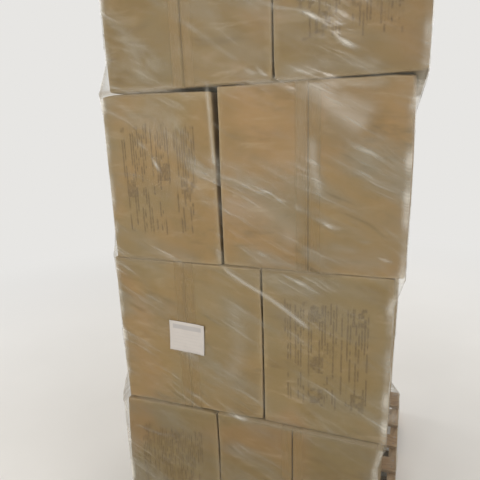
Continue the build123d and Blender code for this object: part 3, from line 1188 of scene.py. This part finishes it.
def build_label():
    """The white label on the front of the film, slightly askew and curled at its corners."""
    middle = np.mean(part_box("address_label"), axis=0)
    half = LABEL_HALF
    u, v = np.meshgrid(np.linspace(-1, 1, 29), np.linspace(-1, 1, 25), indexing="xy")
    tilt = math.radians(LABEL_TILT)
    x = u * half[0] * math.cos(tilt) + v * half[1] * math.sin(tilt)
    z = -u * half[0] * math.sin(tilt) + v * half[1] * math.cos(tilt)
    curl = LABEL_CURL * smooth((np.abs(u) * np.abs(v) - 0.55) / 0.45)
    ripple = 0.35 * MM * swell(packed(u * 2, v * 2), 7, 1.5)
    outer = middle + packed(x, ripple - curl - LABEL_STAND_OFF, z)
    points, faces = closed_strip(outer, outer + (0, LABEL_THICKNESS, 0))
    piece = new_piece("label_sheet", points, faces, LABEL_PAPER)
    place = packed(u * half[0], v * half[1], 0.0).reshape(-1, 3)
    note(piece, "panel_place", np.tile(place, (2, 1))[faces].reshape(-1, 3), "CORNER")
    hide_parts("address_label")
    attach(piece, "root")


def notch_depth(along):
    """How far a stringer's underside is cut away, for places along it."""
    inside = NOTCH_LENGTH / 2 - np.abs(np.abs(along) - NOTCH_MIDDLE)
    corner = np.clip(NOTCH_RADIUS - inside, 0.0, NOTCH_RADIUS)
    rounding = NOTCH_RADIUS - np.sqrt(NOTCH_RADIUS ** 2 - corner ** 2)
    return np.where(inside > -1e-7, NOTCH_HEIGHT - rounding, 0.0)


def build_plank(node_name, index):
    """A rough sawn board or stringer that stands for its CAD node.

    A stringer has its two fork notches, and a bottom board slopes at its edges.
    """
    low, high = np.array(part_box(node_name))
    is_stringer = "stringer" in node_name
    order = [1, 0, 2] if is_stringer else [0, 1, 2]
    middle, half = ((high + low) / 2)[order], ((high - low) / 2)[order]
    pitches = (16 * MM, 9 * MM, 9 * MM)
    cuts = [even_cuts(h, pitch, round_cuts(SAWN_RADIUS)) for h, pitch in zip(half, pitches)]
    if is_stringer:
        walls = np.r_[NOTCH_LENGTH / 2 - NOTCH_CUTS, NOTCH_CUTS - NOTCH_LENGTH / 2] + NOTCH_MIDDLE
        cuts[0] = np.unique(np.round(np.concatenate([cuts[0], walls, -walls]), 7))
    flat, faces, _ = box_lattice(cuts)
    points = rounded(flat, half, SAWN_RADIUS)

    rng = np.random.default_rng(500 + index)
    grain = flat * (1.0, 14.0, 14.0) + rng.uniform(-9, 9, 3)
    rough = 0.30 + 0.22 * swell(grain, 3 + index, 0.5) + 0.16 * swell(grain * 3.0, 5 + index, 0.5)
    ends = 0.9 + 0.7 * swell(flat * (1.0, 60.0, 60.0), 9 + index, 1.0)
    hollow = 0.5 * (1 + swell(flat * (1.0, 0.3, 0.3), 15 + index, 0.7))
    for axis, depth in enumerate((ends, rough + hollow, rough)):
        at_face = half[axis] - np.abs(flat[:, axis]) < 1e-6
        depth = np.sign(flat[:, axis]) * np.clip(depth, 0.15, 3.0) * MM
        points[at_face, axis] -= depth[at_face]
    for place, side in rng.uniform(-1, 1, (NICKS, 2)):
        gap = (flat - (place * half[0], np.sign(side) * half[1], half[2])) * (0.5, 1, 1)
        bite = rng.uniform(1.0, 4.5) * MM * hump(np.linalg.norm(gap, axis=-1), 9 * MM)
        points[:, 1] -= np.sign(side) * bite
        points[:, 2] -= 0.6 * bite
    up = (flat[:, 2] + half[2]) / (2 * half[2])
    if is_stringer:
        points[:, 2] += notch_depth(flat[:, 0]) * (1 - up)
        faces = faces[:, ::-1]
    elif "bottom" in node_name:
        from_edge = np.clip(half[1] - np.abs(flat[:, 1]), 0.0, WHEEL_RUN)
        points[:, 2] -= WHEEL_DROP * (1 - from_edge / WHEEL_RUN) * up

    placed = np.empty_like(points)
    placed[:, order] = points + middle
    piece = new_piece("timber_" + node_name.removeprefix("pallet_"), placed, faces, TIMBER)
    note(piece, "grain_place", flat + rng.uniform((-5, 0.02, -0.05), (5, 0.09, 0.05)))
    note(piece, "tone", rng.uniform(0, 1))
    note(piece, "edge_distance", edge_distance(flat, half))
    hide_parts(node_name)
    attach(piece, "root")


def build_nails():
    """Two nail heads for each board over each stringer, above and below."""
    cuts = np.array([-1.0, -0.8, -0.3, 0.3, 0.8, 1.0])
    flat, quads, _ = box_lattice([cuts, cuts, cuts[[0, 4, 5]]])
    disc = flat.copy()
    disc[:, :2] *= np.sqrt(1 - flat[:, 1::-1] ** 2 / 2)
    disc[:, :2] *= np.where(flat[:, 2:] > 0.9, 0.9, 1.0)
    disc *= NAIL_HEAD
    points, faces = [], []
    rng = np.random.default_rng(77)
    boards = [(f"pallet_top_board_{n}", 1) for n in range(1, 8)]
    boards += [(f"pallet_bottom_board_{n}", -1) for n in range(1, 6)]
    for name, up in boards:
        low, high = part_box(name)
        height = (high if up > 0 else low)[2] - up * NAIL_HEAD[2]
        for side in ("left", "centre", "right"):
            stringer = np.mean(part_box(f"pallet_stringer_{side}"), axis=0)
            for share in (0.25, 0.75):
                middle = (stringer[0], low[1] + (high[1] - low[1]) * share, height)
                nail = disc * (1, up, up) + middle + rng.uniform(-7, 7, 3) * (MM, MM, 0)
                faces.append(quads + len(points) * len(disc))
                points.append(nail)
    piece = new_piece("nail_heads", np.concatenate(points), np.concatenate(faces), NAIL_STEEL)
    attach(piece, "root")


def build_pallet():
    """Timber for the pallet's own nodes, and its nails."""
    names = sorted(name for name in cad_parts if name.startswith("pallet_"))
    for index, name in enumerate(names):
        build_plank(name, index)
    build_nails()


def set_camera():
    """The camera where the photograph was taken from."""
    camera = bpy.data.cameras.new("photo_camera")
    camera.lens = CAMERA_LENS
    camera.sensor_width = 36.0
    camera.clip_start = 0.05
    camera.clip_end = 100.0
    placed = Matrix.Translation(CAMERA_PLACE)
    for angle, axis in ((CAMERA_TURN, "Z"), (90 - CAMERA_DIP, "X"), (CAMERA_ROLL, "Z")):
        placed = placed @ Matrix.Rotation(math.radians(angle), 4, axis)
    holder = in_scene("photo_camera", camera)
    holder.matrix_world = placed
    bpy.context.scene.camera = holder


def area_light(name, place, target, size, power, colour):
    """A soft square lamp that points at target."""
    lamp = bpy.data.lights.new(name, "AREA")
    lamp.shape = "SQUARE"
    lamp.size = size
    lamp.energy = power
    lamp.color = colour
    holder = in_scene(name, lamp)
    holder.location = place
    holder.rotation_euler = (Vector(target) - Vector(place)).to_track_quat("-Z", "Y").to_euler()


def set_stage():
    """A plain pale floor, a pale surround and soft studio lamps."""
    corners = np.array([(-1, -1, 0), (1, -1, 0), (1, 1, 0), (-1, 1, 0)]) * FLOOR_REACH
    floor = new_piece("floor", corners, np.array([[0, 1, 2, 3]]), FLOOR)
    fade_floor()
    for name, lamp in LAMPS.items():
        area_light(name, *lamp)

    world = bpy.data.worlds.new("pale_surround")
    bpy.context.scene.world = world
    world.use_nodes = True
    tree = world.node_tree
    tree.nodes.clear()
    path = outputs(node(tree, "LightPath"))
    seen = path["Is Camera Ray"]
    for kind in ("Is Transmission Ray", "Is Glossy Ray"):
        seen = seen.calc("ADD", path[kind], clamp=True)
    lit = field(tree, "Background", {"Color": SURROUND_LIGHT, "Strength": SURROUND_STRENGTH})
    pale = field(tree, "Background", {"Color": PALE, "Strength": 1.0})
    node(tree, "OutputWorld", {"Surface": field(tree, "MixShader", {0: seen, 1: lit, 2: pale})})
    bpy.context.scene.view_settings.view_transform = "Standard"


load_courses = build_load()
build_film(load_courses)
build_label()
build_pallet()
set_stage()
set_camera()
